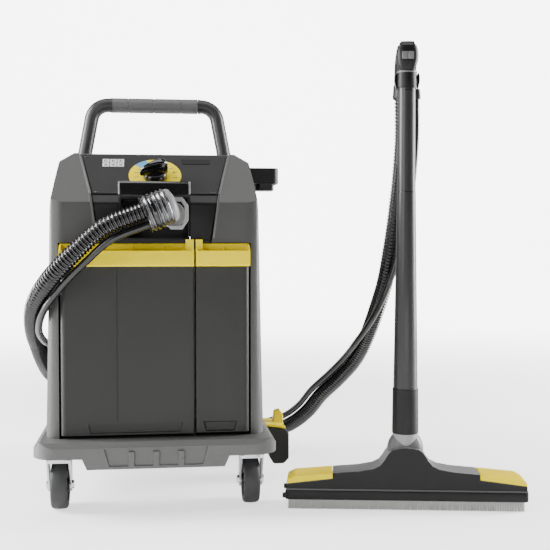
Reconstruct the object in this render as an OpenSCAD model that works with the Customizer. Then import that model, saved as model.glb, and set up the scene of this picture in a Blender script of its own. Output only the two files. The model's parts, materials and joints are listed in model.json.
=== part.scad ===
// Steam cleaner with suction: a wheeled machine, its twin hose, and a wand with a wide floor head.
// +Z is up and the machine's front faces -Y. The origin is on the floor, under the middle of the whole set.

/* [Chassis] */
// Width of the chassis
chassis_w = 495; // [480:1:510]
// Depth of the chassis, front to back
chassis_d = 640; // [630:1:660]
// Height of the chassis's underside
chassis_floor = 125; // [125:1:125]
// Height of the ledge that the casing stands on
chassis_top = 157; // [157:1:157]

/* [Casters] */
// Diameter of each wheel
wheel_d = 100; // [90:1:100]
// Width of each wheel
wheel_w = 34; // [28:1:36]
// Distance of the swivel axes from the middle, across
caster_x = 200; // [195:1:203]
// Distance of the swivel axes from the middle, along
caster_y = 235; // [230:1:236]
// How far each wheel trails behind its swivel axis
trail = 21; // [18:1:24]

/* [Casing] */
// Depth of the casing, front to back
body_d = 540; // [536:1:544]
// Height of the casing's top
body_top = 750; // [745:1:755]
// Wall thickness of the casing
wall = 4; // [3:0.5:5]

/* [Tank drawers] */
// Height of the drawer fronts' lower edge
drawer_low = 164; // [162:1:170]
// Height where the drawer fronts end and the grips begin
drawer_high = 509; // [505:1:512]
// Half of the drawers' total width
drawer_half = 193; // [190:1:193]
// Distance of the seam between the drawers from the middle
seam_x = 80; // [60:1:100]

/* [Push handle] */
// Height of the bar's axis
bar_z = 912; // [880:1:940]
// Radius of the handle's tube
handle_r = 18; // [16:1:19]

/* [Wand] */
// Distance of the wand from the machine's middle, across
wand_x = 522; // [522:1:560]
// Place of the wand, along (negative is in front)
wand_y = -285; // [-290:1:-280]
// Angle that the wand is turned towards the machine's front
wand_yaw = 10; // [0:1:12]
// Width of the floor head
nozzle_w = 500; // [500:2:500]
// Radius of the bore through the wand's tubes
bore_r = 16; // [14:0.5:17]

/* [Hose] */
// Radius of the suction hose
hose_r = 19; // [17:0.5:20]
// Radius of the steam line beside it
steam_r = 7.5; // [5:0.5:8]

/* [Hidden] */
$fn = 64;

nozzle_d = 76;
// Middle of the whole set, without the hose, moved to the origin
reach_x = wand_x + nozzle_w / 2 * cos(wand_yaw) + nozzle_d / 2 * sin(wand_yaw);
reach_y = wand_y - nozzle_w / 2 * sin(wand_yaw) - nozzle_d / 2 * cos(wand_yaw);
shift_x = (chassis_w / 2 - reach_x) / 2;
shift_y = -(chassis_d / 2 + reach_y) / 2;

dark = [0.23, 0.23, 0.22];
mid = [0.36, 0.36, 0.35];
light = [0.5, 0.5, 0.5];
black = [0.05, 0.05, 0.05];
yellow = [1, 0.88, 0];
zinc = [0.7, 0.72, 0.74];
tank_white = [0.85, 0.87, 0.88];

front_y = -body_d / 2;
slope_low = 640;            // where the sloping panel leaves the front face
slope_run = 130;            // how far back it runs
slope_rise = body_top - slope_low;
slope_a = atan2(slope_rise, slope_run);
panel_mid_y = -205;         // the dial's place on the slope
panel_mid_z = slope_low + (panel_mid_y - front_y) * tan(slope_a);
deck_z = 560;               // deck above the tanks
bulkhead_y = 60;            // wall behind the tanks
plug_x = 34;
plug_z = 614;
leg_x = 188;                // push handle's legs at the back of the casing
leg_y = body_d / 2 + 22;
fan_x = 105;
fan_y = 165;
float_x = -60;
float_y = -60;
neck_z = 95;                // hinge between the wand's neck and the floor head
grip_back = 95;             // how far the hose hangs behind the wand's tube
hose_top = 870;             // where the hose goes into the wand's handle
fit = 0.05;                 // running clearance of a pin in its hole
gap = 0.5;                  // clearance between pieces that slide past each other

// The hose's route, from the plug round the left side and the back to the wand
route = [
    [-20, -350, 620], [-98, -357, 588], [-155, -345, 540], [-205, -314, 490], [-241, -260, 440],
    [-257, -188, 396], [-264, -105, 356], [-266, -20, 320], [-268, 65, 285], [-267, 150, 250],
    [-259, 235, 217], [-232, 320, 188], [-182, 366, 130], [-115, 392, 70], [-40, 407, 32],
    [40, 405, 21], [125, 385, 21], [200, 355, 26], [275, 320, 40], [345, 280, 65],
    [390, 225, 110], [420, 170, 165], [455, 115, 215], [485, 55, 270], [500, -5, 330],
    [510, -60, 395], [520, -105, 465], [525, -140, 540], [530, -165, 620], [535, -180, 700],
    [538, -191, 785], [538, -191, 869.9]
];
// On which side of the hose the steam line lies, point by point
sides = [
    [0.37, 0, -0.93], [0.4, 0.1, -0.9], [0.6, 0.2, -0.8], [0.6, 0.3, -0.8], [0.3, 0.1, -0.9],
    [0.35, 0.1, -0.9], [0.7, 0.1, -0.6], [0.8, 0.1, 0.1], [0.5, 0.2, 0.6], [0.5, 0.3, 0.7],
    [0.2, 0.1, 1], [0, 0.3, 1], [0, 0.4, 1], [0, 0.3, 1], [0, 0, 1],
    [0, 0, 1], [0, 0, 1], [0, 0, 1], [0, 0, 1], [-0.3, 0, 1],
    [-0.6, -0.1, 0.8], [-0.7, -0.2, 0.7], [-0.7, -0.3, 0.6], [-0.7, -0.4, 0.4], [-0.6, -0.7, 0.2],
    [-0.3, -0.9, 0], [0, -1, 0], [0.4, -0.9, 0], [0.7, -0.6, 0], [0.9, -0.3, 0],
    [1, -0.2, 0], [1, -0.17, 0]
];

function unit(v) = v / norm(v);
// Direction of a path at one of its points
function tangent(p, i) = unit(p[min(i + 1, len(p) - 1)] - p[max(i - 1, 0)]);
function square_to(v, t) = unit(v - (v * t) * t);
// Sideways vectors carried along a path without twist
function carried(p, first) = [
    for (i = 0, v = square_to(first, tangent(p, 0)); i < len(p);
         i = i + 1, v = i < len(p) ? square_to(v, tangent(p, i)) : v) v
];
// Points of a round bend of radius r at b, between a and c
function bend(a, b, c, r, steps) =
    let (u = unit(a - b), w = unit(c - b), half = acos(u * w) / 2,
         centre = b + unit(u + w) * r / sin(half), s = b + u * r / tan(half) - centre,
         e = b + w * r / tan(half) - centre, turn = 180 - 2 * half)
    [for (i = [0:steps]) centre + (sin(turn * (1 - i / steps)) * s + sin(turn * i / steps) * e) / sin(turn)];

// A closed tube along a path
module sweep(p, r, n, first = [0, 0, 1]) {
    vs = carried(p, first);
    rings = [
        for (i = [0:len(p) - 1]) let (v = vs[i], w = cross(tangent(p, i), v))
            for (k = [0:n - 1]) p[i] + r * (cos(360 * k / n) * v + sin(360 * k / n) * w)
    ];
    last = (len(p) - 1) * n;
    sideways = [
        for (i = [0:len(p) - 2]) for (k = [0:n - 1]) let (a = i * n + k, b = i * n + (k + 1) % n)
            each [[a, b + n, b], [a, a + n, b + n]]
    ];
    polyhedron(rings, concat(sideways, [[for (k = [0:n - 1]) k]], [[for (k = [n - 1:-1:0]) last + k]]));
}

module machine() translate([shift_x, shift_y, 0]) children();
module wand() translate([shift_x + wand_x, shift_y + wand_y, 0]) rotate([0, 0, -wand_yaw]) children();
module on_slope() translate([0, panel_mid_y, panel_mid_z]) rotate([slope_a, 0, 0]) children();
module block(low, high) translate(low) cube(high - low);
// Pieces drawn flat as seen from the front, or from the right, and given a depth
module from_front(y0, y1) translate([0, y1, 0]) rotate([90, 0, 0]) linear_extrude(y1 - y0) children();
module from_side(x0, x1)
    translate([x0, 0, 0]) rotate([90, 0, 90]) linear_extrude(x1 - x0) children();
module rod(centre, r, y0, y1) translate([centre[0], y1, centre[1]]) rotate([90, 0, 0]) cylinder(y1 - y0, r, r);
module both_sides() {
    children();
    mirror([1, 0, 0]) children();
}
module at_corners() for (x = [-caster_x, caster_x], y = [-caster_y, caster_y]) translate([x, y, 0]) children();
// A rod that points along a direction
module pointing(dir) rotate([0, acos(dir[2] / norm(dir)), atan2(dir[1], dir[0])]) children();

module rounded(w, d, r) {
    square([w - 2 * r, d], center = true);
    square([w, d - 2 * r], center = true);
    for (x = [-w / 2 + r, w / 2 - r], y = [-d / 2 + r, d / 2 - r]) translate([x, y]) circle(r);
}

// The casing's outer form, made smaller by t all round
casing_half = [[226, 100], [219, 345], [213, 625], [207, 690], [202, body_top - 20]];
module casing_form(t) intersection() {
    translate([0, 0, 100]) linear_extrude(body_top) rounded(460 - 2 * t, body_d - 2 * t, 45 - t);
    from_front(-400, 400) polygon(concat(
        [for (p = casing_half) [p[0] - t, p[1]]], [[172 - t / 2, body_top - t], [-172 + t / 2, body_top - t]],
        [for (i = [len(casing_half) - 1:-1:0]) [t - casing_half[i][0], casing_half[i][1]]]));
    from_side(-400, 400) polygon([
        [front_y + t, 100], [front_y + t, slope_low - 0.46 * t], [front_y + slope_run + 0.37 * t, body_top - t],
        [-front_y - 45 - 0.41 * t, body_top - t], [-front_y - t, body_top - 45 - 0.41 * t], [-front_y - t, 100]]);
}
module casing_wall(t) difference() {
    casing_form(t);
    casing_form(t + wall);
}
// The dark part of the front, narrower towards the bottom
module console_zone(grow) from_front(-400, front_y + slope_run + 14 + grow) polygon([
    [-162 - grow, 800], [-162 - grow, body_top], [-131 - grow, 656], [-114 - grow, deck_z - 4 - grow],
    [114 + grow, deck_z - 4 - grow], [131 + grow, 656], [162 + grow, body_top], [162 + grow, 800]]);
module top_zone(grow)
    block([-170 - grow, front_y + slope_run + 15 - grow, 700 - grow], [170 + grow, 300, 800]);
module rear_zone(grow) block([-170 - grow, 240, chassis_top - 10], [170 + grow, 300, 699 + grow]);

module side_shell() {
    color(mid) intersection() {
        difference() {
            casing_wall(0);
            console_zone(0.5);
            top_zone(0.5);
            rear_zone(0.5);
            block([-196, -400, 0], [196, -200, deck_z - 3]);
        }
        block([0.3, -400, chassis_top], [400, 400, 900]);
    }
}
module side_shell_right() machine() side_shell();
module side_shell_left() machine() mirror([1, 0, 0]) side_shell();

module front_console() machine() color(dark) difference() {
    intersection() {
        casing_wall(3);
        console_zone(0);
    }
    block([-74, -400, deck_z + 2], [71, -200, 652]);
    on_slope() cylinder(40, 4.5, 4.5, center = true);
}

module top_cover() machine() color(mid) intersection() {
    casing_wall(0);
    top_zone(0);
}

module rear_cover() machine() color(dark) difference() {
    intersection() {
        casing_wall(0);
        rear_zone(0);
        block([-400, 0, chassis_top], [400, 400, 900]);
    }
    for (z = [420:16:564]) block([-110, 200, z], [110, 300, z + 7]);
    rod([-110, 220], 9, 240, 300);
}

module tank_partition() machine() color(light) {
    block([-204, front_y + 10, deck_z], [204, bulkhead_y + 4, deck_z + 3]);
    block([-204, bulkhead_y, chassis_top], [204, bulkhead_y + 4, deck_z]);
    block([seam_x - 1.5, front_y + 10, chassis_top], [seam_x + 1.5, bulkhead_y, deck_z]);
}

module chassis() machine() color(light) difference() {
    union() {
        intersection() {
            translate([0, 0, chassis_floor]) linear_extrude(chassis_top - chassis_floor)
                rounded(chassis_w, chassis_d, 48);
            from_front(-400, 400) polygon([
                [-chassis_w / 2, 100], [chassis_w / 2, 100], [chassis_w / 2, 143],
                [chassis_w / 2 - 14, chassis_top], [14 - chassis_w / 2, chassis_top], [-chassis_w / 2, 143]]);
            from_side(-400, 400) polygon([
                [-chassis_d / 2, 100], [chassis_d / 2, 100], [chassis_d / 2, 147],
                [chassis_d / 2 - 10, chassis_top], [10 - chassis_d / 2, chassis_top], [-chassis_d / 2, 147]]);
        }
        // Aprons that hang between the casters, in front and behind
        for (y = [-chassis_d / 2 + 1, chassis_d / 2 - 9]) from_front(y, y + 8)
            polygon([[-150, 130], [-138, 103], [138, 103], [150, 130]]);
        // Plates that the casters swivel under
        at_corners() translate([0, 0, 119]) linear_extrude(7) rounded(84, 76, 8);
    }
    // Room above the floor, between the rims
    block([-176, -222, chassis_floor + 6], [176, 222, 200]);
    // Sunk panel with three ribs left standing
    difference() {
        from_front(-chassis_d / 2 - 1, -chassis_d / 2 + 4)
            polygon([[-104, 145], [-94, 109], [94, 109], [104, 145]]);
        for (x = [-50, 0, 50]) block([x - 6, -400, 100], [x + 6, 400, 138]);
    }
    at_corners() translate([0, 0, 110]) cylinder(30, 6, 6);
}

module caster_fork(x, y) machine() color(zinc) translate([x, y, 0]) {
    translate([0, 0, 107]) cylinder(11.6, 27, 27);
    translate([0, 0, 117]) cylinder(20, 6 - fit, 6 - fit);
    for (s = [-1, 1]) from_side(s * (wheel_w / 2 + 5.5) - 2, s * (wheel_w / 2 + 5.5) + 2) {
        polygon([[-22, 110], [22, 110], [trail + 13, wheel_d / 2 + 4], [trail + 11, wheel_d / 2 - 9],
            [trail - 11, wheel_d / 2 - 9], [trail - 13, wheel_d / 2]]);
        translate([trail, wheel_d / 2]) circle(14);
    }
    block([-wheel_w / 2 - 7.5, -22, 104], [wheel_w / 2 + 7.5, 24, 110]);
    translate([-wheel_w / 2 - 11, trail, wheel_d / 2]) rotate([0, 90, 0]) cylinder(wheel_w + 22, 6, 6);
    for (s = [-1, 1]) translate([s * (wheel_w / 2 + 9.5) - 2, trail, wheel_d / 2]) rotate([0, 90, 0])
        cylinder(4, 9, 9, $fn = 6);
}
module caster_wheel(x, y) machine() color([0.45, 0.45, 0.45])
    translate([x, y + trail, wheel_d / 2]) rotate([0, 90, 0]) rotate_extrude() {
    polygon([
        [6 + fit, -wheel_w / 2 - 2], [14, -wheel_w / 2 - 2], [16, -wheel_w / 2 + 5],
        [wheel_d / 2 - 14, -wheel_w / 2 + 5], [wheel_d / 2 - 12, -wheel_w / 2],
        [wheel_d / 2 - 5, -wheel_w / 2], [wheel_d / 2 - 1, -wheel_w / 2 + 5],
        [wheel_d / 2, 0], [wheel_d / 2 - 1, wheel_w / 2 - 5], [wheel_d / 2 - 5, wheel_w / 2],
        [wheel_d / 2 - 12, wheel_w / 2], [wheel_d / 2 - 14, wheel_w / 2 - 5], [16, wheel_w / 2 - 5],
        [14, wheel_w / 2 + 2], [6 + fit, wheel_w / 2 + 2]]);
}

module control_panel() machine() color(dark) on_slope() difference() {
    translate([0, 0, -2.98]) linear_extrude(2.48) polygon([[-127, -56], [127, -56], [155, 80], [-155, 80]]);
    for (p = [[-146, 74], [146, 74], [-120, -50], [120, -50]]) translate([p[0], p[1], -4]) cylinder(8, 4, 4);
    block([58, 55, -2], [116, 64, 2]);
    translate([0, 0, -4]) cylinder(8, 4.5, 4.5);
}
module dial_plate() machine() color(yellow) on_slope() difference() {
    translate([0, 6, -0.5]) cylinder(2, 55, 55);
    translate([0, 0, -4]) cylinder(8, 4.5, 4.5);
}
module selector_knob() machine() color(black) on_slope() {
    translate([0, 0, 2]) cylinder(14, 25, 24);
    translate([0, 0, 15.5]) rotate([0, 0, 200]) linear_extrude(19) {
        polygon([[-24, -8], [-24, 8], [-8, 9], [30, 5], [34, 0], [30, -5], [-8, -9]]);
        translate([-16, 0]) circle(12);
    }
    translate([0, 0, -22]) cylinder(26, 4, 4);
}
module selector_switch() machine() color(light) on_slope() difference() {
    block([-20, -20, -34], [20, 20, -8]);
    translate([0, 0, -40]) cylinder(40, 4 + fit, 4 + fit);
}

// Screws of the panel, the rear cover and the handle's brackets
module housing_screws() machine() color(zinc) {
    on_slope() for (p = [[-146, 74], [146, 74], [-120, -50], [120, -50]])
        translate([p[0], p[1], -2.95]) cylinder(1.4, 3.6, 3.6);
    for (x = [-158, 158], z = [180, 430, 680]) rod([x, z], 4, body_d / 2, body_d / 2 + 2);
    for (x = [-leg_x, leg_x], z = [610, 690]) rod([x, z], 6, leg_y + handle_r, leg_y + handle_r + 4);
}

module hose_socket() machine() color(black) {
    difference() {
        block([-73, front_y + 2, deck_z + 3], [70, front_y + 112, 651]);
        block([-69, -400, deck_z + 7], [66, front_y + 58, 647]);
        rod([plug_x, plug_z], 20 + fit, front_y + 50, front_y + 100);
    }
    block([-112, front_y - 3, deck_z - 4], [112, front_y + 2.9, deck_z + 1.9]);
    block([-73, front_y - 3, deck_z], [70, front_y + 2.9, deck_z + 7]);
}
module socket_flap() machine() color(black) {
    difference() {
        from_side(-73, 70) polygon([
            [front_y - 34, 653], [front_y - 34, 676], [front_y - 28, 681], [front_y + 2, 681], [front_y + 2, 653]]);
        block([-69, -400, 640], [66, front_y - 4, 676]);
    }
    from_side(-73, 70) polygon([
        [front_y - 34, 653], [front_y - 34, 677], [front_y - 31, 677], [front_y - 31, 653]]);
}
plug_dir = unit(route[0] - route[1]);
plug_end = route[0] + 8 * square_to(sides[0], plug_dir) + 0.6 * plug_dir;
plug_turn = plug_end + 42 * plug_dir;
module hose_plug() machine() color(light) {
    rod([plug_x, plug_z], 20, front_y - 8, front_y + 80);
    rod([plug_x, plug_z], 26, front_y - 33, front_y + 8);
    rod([plug_x, plug_z], 12, front_y - 60, front_y - 30);
    difference() {
        union() {
            translate(plug_turn) sphere(34);
            translate(plug_end) pointing(plug_dir) cylinder(42, 33, 33);
        }
        block([-60, front_y - 48, 540], [120, front_y + 10, 720]);
    }
}
module plug_latch() machine() color(zinc) from_front(front_y - 47, front_y - 36) difference() {
    polygon([[18, 602], [30, 584], [54, 584], [66, 602], [66, 632], [54, 648], [30, 648], [18, 632]]);
    polygon([[21.5, 605], [32, 592], [52, 592], [58, 604], [58, 630], [51, 640], [33, 640], [21.5, 627]]);
}

leg_path = concat([[-leg_x, leg_y, 585]],
    bend([-leg_x, leg_y, 585], [-leg_x, leg_y, 745], [-156, leg_y, bar_z], 120, 4),
    bend([-leg_x, leg_y, 745], [-156, leg_y, bar_z], [0, leg_y, bar_z], 46, 8), [[-112, leg_y, bar_z]]);
module push_handle() machine() color(dark) {
    both_sides() {
        sweep(leg_path, handle_r, 20, [0, 1, 0]);
        for (z = [610, 690]) block([-leg_x - 16, body_d / 2, z - 14], [-leg_x + 16, leg_y, z + 14]);
    }
    translate([-114, leg_y, bar_z]) rotate([0, 90, 0]) cylinder(228, 12, 12);
}
module handle_grip() machine() color(light) translate([-111, leg_y, bar_z]) rotate([0, 90, 0]) difference() {
    cylinder(222, handle_r + 1, handle_r + 1);
    translate([0, 0, -1]) cylinder(224, 12 + fit, 12 + fit);
    for (x = [42, 108, 178]) translate([0, 0, x]) difference() {
        cylinder(2, 30, 30);
        cylinder(2, handle_r - 0.5, handle_r - 0.5);
    }
}

module accessory_hook() machine() color(dark) translate([0, 20, 0]) {
    difference() {
        translate([244, 0, 694]) linear_extrude(36) rounded(84, 92, 16);
        translate([0, -20, 0]) casing_form(0);
        block([228, -26, 705], [268, 26, 740]);
    }
    translate([256, 0, 679]) linear_extrude(16) rounded(42, 60, 10);
}
module park_bracket() machine() color(dark) difference() {
    union() {
        from_front(-44, 44) polygon([
            [chassis_w / 2, 128], [300, 120], [308, 112], [308, 52], [296, 40], [272, 40], [262, 56],
            [262, 104], [chassis_w / 2, 112]]);
    }
    block([272, -28, 58], [320, 28, 104]);
}
module park_latch() machine() color(yellow) {
    from_front(-40, 40) polygon([[252, 128.6], [252, 134], [286, 131], [300, 127], [300, 121.4]]);
    from_front(-12, 12) polygon([[274, 130], [278, 158], [290, 162], [298, 150], [298, 124]]);
}

// Drawer front seen from above, with its own corner radius at each side
module front_plan(x0, x1, r0, r1) intersection() {
    translate([x0, -18]) square([x1 - x0, 18]);
    union() {
        translate([x0 + r0, -18]) square([x1 - x0 - r0 - r1, 18]);
        translate([x0, -18 + max(r0, r1)]) square([x1 - x0, 18 - max(r0, r1)]);
        translate([x0 + r0, -18 + r0]) circle(r0);
        translate([x1 - r1, -18 + r1]) circle(r1);
        translate([x0, -18 + r0]) square([r0, 18 - r0]);
        translate([x1 - r1, -18 + r1]) square([r1, 18 - r1]);
    }
}
module drawer_front(x0, x1, r0, r1, toe0, toe1) color(dark) difference() {
    translate([0, front_y + 11, drawer_low]) linear_extrude(drawer_high - drawer_low)
        front_plan(x0, x1, r0, r1);
    from_front(-400, front_y - 2) polygon([[toe0, 187], [toe0 + 5, 168], [toe1 - 5, 168], [toe1, 187]]);
}
module grip(x0, x1, ribs) color(yellow) {
    y = front_y;
    from_side(x0, x1) polygon([
        [y + 8, drawer_high], [y + 8, 555.4], [y + 4, 555.4], [y + 4, 515], [y - 15, 515], [y - 17, 541],
        [y - 20, 541], [y - 21, 512], [y - 18, drawer_high]]);
    for (x = [x0, x1 - 4]) from_side(x, x + 4) polygon([
        [y + 8, drawer_high], [y + 8, 555.4], [y - 4, 552], [y - 20, 541], [y - 20, drawer_high]]);
    for (x = ribs) from_side(x, x + 2) polygon([[y + 5, 514], [y + 5, 552], [y - 4, 540], [y - 17, 530], [y - 17, 514]]);
}
module tank(x0, x1) color(tank_white) difference() {
    block([x0, front_y + 11, drawer_low + 8], [x1, bulkhead_y - 8, 498]);
    block([x0 + 3, front_y + 14, drawer_low + 11], [x1 - 3, bulkhead_y - 11, 499]);
}
module lid(x0, x1) block([x0 - 2, front_y + 11, 498], [x1 + 2, bulkhead_y - 6, 502]);

waste_x0 = -drawer_half;
waste_x1 = seam_x - 1.5 - gap;
water_x0 = seam_x + 1.5 + gap;
water_x1 = drawer_half;
module waste_tank() machine() tank(waste_x0 + 4, waste_x1 - 4);
module waste_tank_lid() machine() color(dark) {
    lid(waste_x0 + 4, waste_x1 - 4);
    translate([float_x, float_y, 430]) cylinder(70, 3, 3);
    translate([float_x, float_y, 426]) cylinder(4, 8, 8);
}
module float_ball() machine() color(yellow) translate([float_x, float_y, 448.4]) difference() {
    sphere(18);
    cylinder(60, 3 + fit, 3 + fit, center = true);
}
module waste_tank_front() machine() difference() {
    drawer_front(waste_x0, waste_x1, 13, 2, -138, 55);
    block([-79, -400, 192], [-77, front_y - 5.5, drawer_high - 2]);
}
module waste_grip() machine() {
    grip(waste_x0, waste_x1, [-106, -46, 18]);
    color(yellow) block([waste_x1 - 17, front_y - 10, 536], [waste_x1, front_y - 3.6, 564]);
}
module water_tank() machine() tank(water_x0 + 4, water_x1 - 4);
module water_tank_lid() machine() color(dark) lid(water_x0 + 4, water_x1 - 4);
module water_tank_front() machine() drawer_front(water_x0, water_x1, 2, 13, 98, 166);
module water_grip() machine() {
    grip(water_x0, water_x1, [140]);
    color(yellow) block([water_x0, front_y - 10, 536], [water_x0 + 14, front_y - 3.6, 564]);
}

// Inner works, behind the tanks and under the panel
module boiler() machine() color(zinc) {
    translate([-100, 165, 300]) cylinder(200, 72, 72);
    translate([-100, 165, 500]) cylinder(16, 72, 40);
    translate([-100, 165, 515]) cylinder(16, 12, 12);
    for (a = [45, 135, 225, 315]) translate([-100 + 60 * cos(a), 165 + 60 * sin(a), chassis_floor + 6])
        cylinder(300 - chassis_floor - 6, 6, 6);
}
module boiler_heater() machine() color([0.6, 0.35, 0.2]) translate([-100, 165, 0]) {
    translate([0, 0, 284]) cylinder(16, 40, 40);
    for (x = [-14, 14]) translate([x, 0, 270]) cylinder(15, 5, 5);
}
module steam_valve() machine() color([0.75, 0.6, 0.3]) {
    translate([-100, 165, 531]) cylinder(26, 14, 14);
    block([-122, 147, 557], [-78, 183, 597]);
    rod([-100, 577], 8, front_y + 112, 148);
    translate([-100, 165, 597]) cylinder(34, 15, 15);
}
module water_pump() machine() color(black) {
    block([40, 90, chassis_floor + 6], [100, 150, 200]);
    translate([70, 120, 200]) cylinder(40, 22, 22);
}
module feed_hose() machine() color([0.6, 0.8, 0.9])
    sweep(concat([[70, 120, 240], [70, 120, 252]], bend([70, 120, 252], [70, 120, 285], [-16, 160, 330], 22, 5),
        [[-14, 159, 329], [-25.2, 163.5, 333.5]]), 6, 10, [1, 0, 0]);
module vacuum_motor() machine() color([0.3, 0.3, 0.32]) translate([fan_x, fan_y, 0]) {
    difference() {
        translate([0, 0, 330]) cylinder(60, 74, 74);
        translate([0, 0, 334]) cylinder(50, 70, 70);
        translate([0, 0, 380]) cylinder(20, 24, 24);
        translate([0, 0, 320]) cylinder(20, 5 + fit, 5 + fit);
    }
    difference() {
        translate([0, 0, 250]) cylinder(80, 50, 50);
        translate([0, 0, 320]) cylinder(20, 5 + fit, 5 + fit);
    }
    for (a = [30, 150, 270]) translate([62 * cos(a), 62 * sin(a), chassis_floor + 6])
        cylinder(330 - chassis_floor - 6, 5, 5);
}
module vacuum_fan() machine() color(zinc) translate([fan_x, fan_y, 0]) {
    translate([0, 0, 322]) cylinder(50, 5, 5);
    translate([0, 0, 338]) cylinder(3, 64, 64);
    for (a = [0:45:315]) rotate([0, 0, a]) block([14, -1, 340], [62, 1, 366]);
    translate([0, 0, 340]) cylinder(30, 14, 8);
}
module motor_filter() machine() color([0.9, 0.9, 0.85]) translate([fan_x, fan_y, 390]) difference() {
    cylinder(90, 52, 52);
    translate([0, 0, -1]) cylinder(84, 40, 40);
}
module circuit_board() machine() color([0.1, 0.4, 0.2]) {
    block([-60, -110, 575], [60, -108, 700]);
    block([-66, -108, 569], [66, -104, 706]);
    for (x = [-40:20:40]) block([x - 6, -122, 600], [x + 6, -110, 660]);
    for (x = [-60, 52]) block([x, -108, deck_z + 3], [x + 8, -104, 575]);
}
module cable_gland() machine() color(black) {
    rod([-110, 220], 9 - fit, body_d / 2 - 12, body_d / 2);
    rod([-110, 220], 14, body_d / 2, body_d / 2 + 16);
}

// The wand: every piece is placed from the middle of the floor head
module tube_piece(z0, z1, r0, r1) difference() {
    translate([0, 0, z0]) cylinder(z1 - z0, r0, r1);
    translate([0, 0, z0 - 1]) cylinder(z1 - z0 + 2, bore_r, bore_r);
}
module wand_cuff() wand() color(black) tube_piece(156, 251, 28, 27);
module wand_lower_tube() wand() color(dark) tube_piece(251, 663, 25.5, 19.5);
module wand_upper_tube() wand() color(dark) tube_piece(663, 880, 19, 18.4);
handle_path = concat([[0, 0, 878]], bend([0, 0, 878], [0, 0, 956], [0, grip_back, 956], 42, 8),
    bend([0, 0, 956], [0, grip_back, 956], [0, grip_back, 878], 42, 8), [[0, grip_back, 884]]);
module wand_handle() wand() color(black) difference() {
    union() {
        sweep(handle_path, 20, 20, [1, 0, 0]);
        translate([0, 0, 880]) cylinder(30, 23, 21);
        translate([0, grip_back, hose_top]) cylinder(30, 23, 21);
        translate([(hose_r + steam_r + 1), grip_back, hose_top]) cylinder(22, 11, 9);
        block([-9, -24, 916], [9, 0, 950]);
    }
    translate([0, 0, 870]) cylinder(28, bore_r, bore_r);
    block([-8.5, grip_back - 30, 892], [8.5, grip_back - 8, 932]);
    translate([0, 0, 800]) cylinder(80, 60, 60);
}
module steam_trigger() wand() color(yellow) from_side(-7.5, 7.5)
    polygon([[grip_back - 31, 896], [grip_back - 27, 893], [grip_back - 15, 893],
        [grip_back - 15, 931], [grip_back - 24, 931], [grip_back - 31, 920]]);
module nozzle_neck() wand() color(light) difference() {
    union() {
        translate([0, 0, neck_z]) cylinder(61, 25, 27);
        translate([-26.5, 0, neck_z]) rotate([0, 90, 0]) cylinder(53, 25, 25);
        translate([-38, 0, neck_z]) rotate([0, 90, 0]) cylinder(76, 6, 6);
    }
    translate([0, 0, neck_z - 40]) cylinder(120, bore_r, bore_r);
}
module nozzle_body() wand() color(black) difference() {
    from_front(-34, 34) polygon([
        [-250, 42], [250, 42], [250, 52], [152, 64], [152, 76], [98, 80.5], [68, 86], [54, 93], [46, 103],
        [40, 113], [34, 121], [26, 126.5], [14, 129.5], [0, 130.5], [-14, 129.5], [-26, 126.5], [-34, 121],
        [-40, 113], [-46, 103], [-54, 93], [-68, 86], [-98, 80.5], [-152, 76], [-152, 64], [-250, 52]]);
    from_front(-24, 24) polygon([[-240, 40], [240, 40], [240, 48], [-240, 48]]);
    from_front(-24, 24) polygon([[-140, 47], [140, 47], [60, 66], [-60, 66]]);
    block([-27, -27, 64], [27, 40, 140]);
    translate([0, 0, 50]) cylinder(30, bore_r, bore_r);
    translate([-40, 0, neck_z]) rotate([0, 90, 0]) cylinder(80, 6 + fit, 6 + fit);
}
module brush_strips() wand() color(black) for (s = [-1, 1]) {
    block([-250, s * 30 - 8, 20], [250, s * 30 + 8, 42]);
    block([-244, s * 32 - 3, 0], [244, s * 32 + 3, 20]);
}
module end_catch() from_front(-34, 34) polygon([[153, 64.4], [153, 76], [233, 69], [248, 61], [250, 52.5]]);
module end_catch_left() wand() color(yellow) mirror([1, 0, 0]) end_catch();
module end_catch_right() wand() color(yellow) end_catch();

module suction_hose() machine() color(black) sweep(route, hose_r, 10);
module steam_line() machine() color(black) sweep([
    for (i = [0:len(route) - 1]) route[i] + (hose_r + steam_r + 1.6) * square_to(sides[i], tangent(route, i))
], steam_r, 8);

chassis();
side_shell_left();
side_shell_right();
front_console();
top_cover();
rear_cover();
tank_partition();
control_panel();
dial_plate();
selector_knob();
selector_switch();
housing_screws();
hose_socket();
socket_flap();
hose_plug();
plug_latch();
push_handle();
handle_grip();
accessory_hook();
park_bracket();
park_latch();
waste_tank();
waste_tank_lid();
waste_tank_front();
waste_grip();
float_ball();
water_tank();
water_tank_lid();
water_tank_front();
water_grip();
boiler();
boiler_heater();
steam_valve();
water_pump();
feed_hose();
vacuum_motor();
vacuum_fan();
motor_filter();
circuit_board();
cable_gland();
caster_fork(-caster_x, -caster_y);  // caster_fork_front_left
caster_fork(caster_x, -caster_y);  // caster_fork_front_right
caster_fork(-caster_x, caster_y);  // caster_fork_rear_left
caster_fork(caster_x, caster_y);  // caster_fork_rear_right
caster_wheel(-caster_x, -caster_y);  // caster_wheel_front_left
caster_wheel(caster_x, -caster_y);  // caster_wheel_front_right
caster_wheel(-caster_x, caster_y);  // caster_wheel_rear_left
caster_wheel(caster_x, caster_y);  // caster_wheel_rear_right
wand_upper_tube();
wand_lower_tube();
wand_cuff();
wand_handle();
steam_trigger();
nozzle_neck();
nozzle_body();
brush_strips();
end_catch_left();
end_catch_right();
suction_hose();
steam_line();
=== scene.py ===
import json
import math
import bmesh
import bpy
from mathutils import Matrix, Vector

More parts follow.
